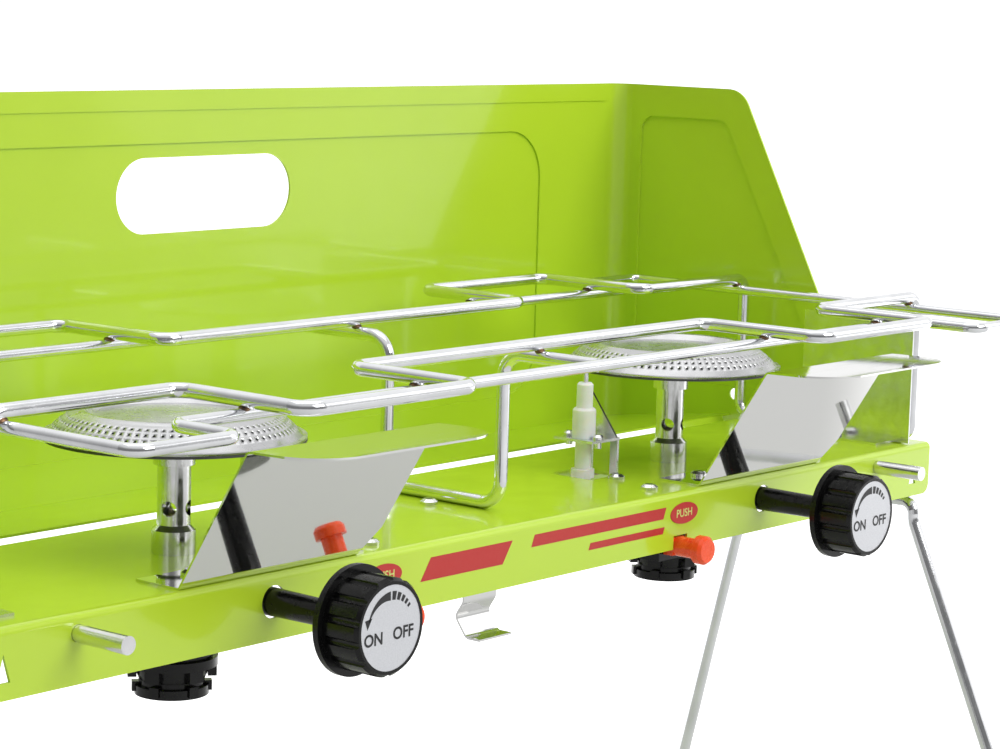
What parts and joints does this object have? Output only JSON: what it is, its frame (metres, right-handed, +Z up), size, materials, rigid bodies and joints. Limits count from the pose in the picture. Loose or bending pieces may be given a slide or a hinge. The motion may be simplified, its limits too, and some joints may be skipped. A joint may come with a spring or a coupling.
{
  "type": "camp stove",
  "caption": "Folding gas camp stove: pressed green tray, windscreen lid, sliding wire pot rack, piezo-lit burners, knobs and folding wire legs.",
  "frame": {"origin": "the ground under the middle of the footprint, legs unfolded and lid open", "axes": "+X along the stove to the right of someone at the knobs, +Y from the knobs to the lid, +Z up"},
  "size_m": [0.6064, 0.2872, 0.4015],
  "materials": {
    "green_enamel": "gloss",
    "red_print": "gloss",
    "mirror_steel": "polished",
    "chrome_wire": "polished",
    "bright_steel": "polished",
    "burner_steel": "satin",
    "brass": "satin",
    "black_plastic": "satin",
    "rubber": "matte",
    "lead_cover": "satin",
    "insulator_white": "translucent satin",
    "dial_grey": "satin",
    "button_orange": "gloss"
  },
  "bodies": {
    "stove": {"base_tray": "green_enamel", "deck_screws": "bright_steel", "push_marks": "red_print", "heat_shield_left": "mirror_steel", "heat_shield_right": "mirror_steel", "burner_tube_left": "bright_steel", "burner_tube_right": "bright_steel", "burner_pan_left": "burner_steel", "burner_pan_right": "burner_steel", "burner_head_left": "burner_steel", "burner_head_right": "burner_steel", "gas_jet_left": "brass", "gas_jet_right": "brass", "valve_body_left": "brass", "valve_body_right": "brass", "gas_connector_left": "black_plastic", "gas_connector_right": "black_plastic", "connector_seal_left": "rubber", "connector_seal_right": "rubber", "piezo_body_left": "black_plastic", "piezo_body_right": "black_plastic", "igniter_bracket_left": "bright_steel", "igniter_bracket_right": "bright_steel", "insulator_left": "insulator_white", "insulator_right": "insulator_white", "electrode_left": "bright_steel", "electrode_right": "bright_steel", "bracket_screws": "bright_steel", "ignition_lead_left": "lead_cover", "ignition_lead_right": "lead_cover", "rack_clamp_left": "bright_steel", "rack_clamp_right": "bright_steel", "latch_pin_left": "bright_steel", "latch_pin_right": "bright_steel", "leaf_clip": "mirror_steel", "leg_bracket_left": "bright_steel", "leg_bracket_right": "bright_steel", "pivot_rivets": "bright_steel"},
    "lid": {"lid_panel": "green_enamel"},
    "rack": {"rack_top_frame": "chrome_wire", "rack_lower_loop": "chrome_wire", "rack_middle_leg": "chrome_wire"},
    "valve_knob_left": {"knob_shaft_left": "black_plastic", "knob_left": "black_plastic", "knob_dial_left": "dial_grey"},
    "spark_button_left": {"igniter_button_left": "button_orange"},
    "legs_left": {"leg_frame_left": "chrome_wire", "foot_caps_left": "rubber"},
    "valve_knob_right": {"knob_shaft_right": "black_plastic", "knob_right": "black_plastic", "knob_dial_right": "dial_grey"},
    "spark_button_right": {"igniter_button_right": "button_orange"},
    "legs_right": {"leg_frame_right": "chrome_wire", "foot_caps_right": "rubber"}
  },
  "joints": [
    {"name": "lid_fold", "type": "hinge", "parent": "stove", "child": "lid", "pos_m": [0, 0.04859, 0.23], "axis": [1, 0, 0], "range_deg": [0, 22]},
    {"name": "rack_slide", "type": "slide", "parent": "stove", "child": "rack", "axis": [0, -1, 0], "range_m": [0, 0.03]},
    {"name": "knob_turn_left", "type": "hinge", "parent": "stove", "child": "valve_knob_left", "pos_m": [-0.157, -0.05741, 0.2245], "axis": [0, -1, 0], "range_deg": [0, 300]},
    {"name": "button_push_left", "type": "slide", "parent": "stove", "child": "spark_button_left", "axis": [0, 1, 0], "range_m": [0, 0.004], "stiffness_N_per_m": 1500},
    {"name": "leg_fold_left", "type": "hinge", "parent": "stove", "child": "legs_left", "pos_m": [-0.29, -0.00741, 0.2064], "axis": [0, -1, 0], "range_deg": [0, 86]},
    {"name": "knob_turn_right", "type": "hinge", "parent": "stove", "child": "valve_knob_right", "pos_m": [0.157, -0.05741, 0.2245], "axis": [0, -1, 0], "range_deg": [0, 300]},
    {"name": "button_push_right", "type": "slide", "parent": "stove", "child": "spark_button_right", "axis": [0, 1, 0], "range_m": [0, 0.004], "stiffness_N_per_m": 1500},
    {"name": "leg_fold_right", "type": "hinge", "parent": "stove", "child": "legs_right", "pos_m": [0.29, -0.00741, 0.2064], "axis": [0, 1, 0], "range_deg": [0, 86]}
  ]
}
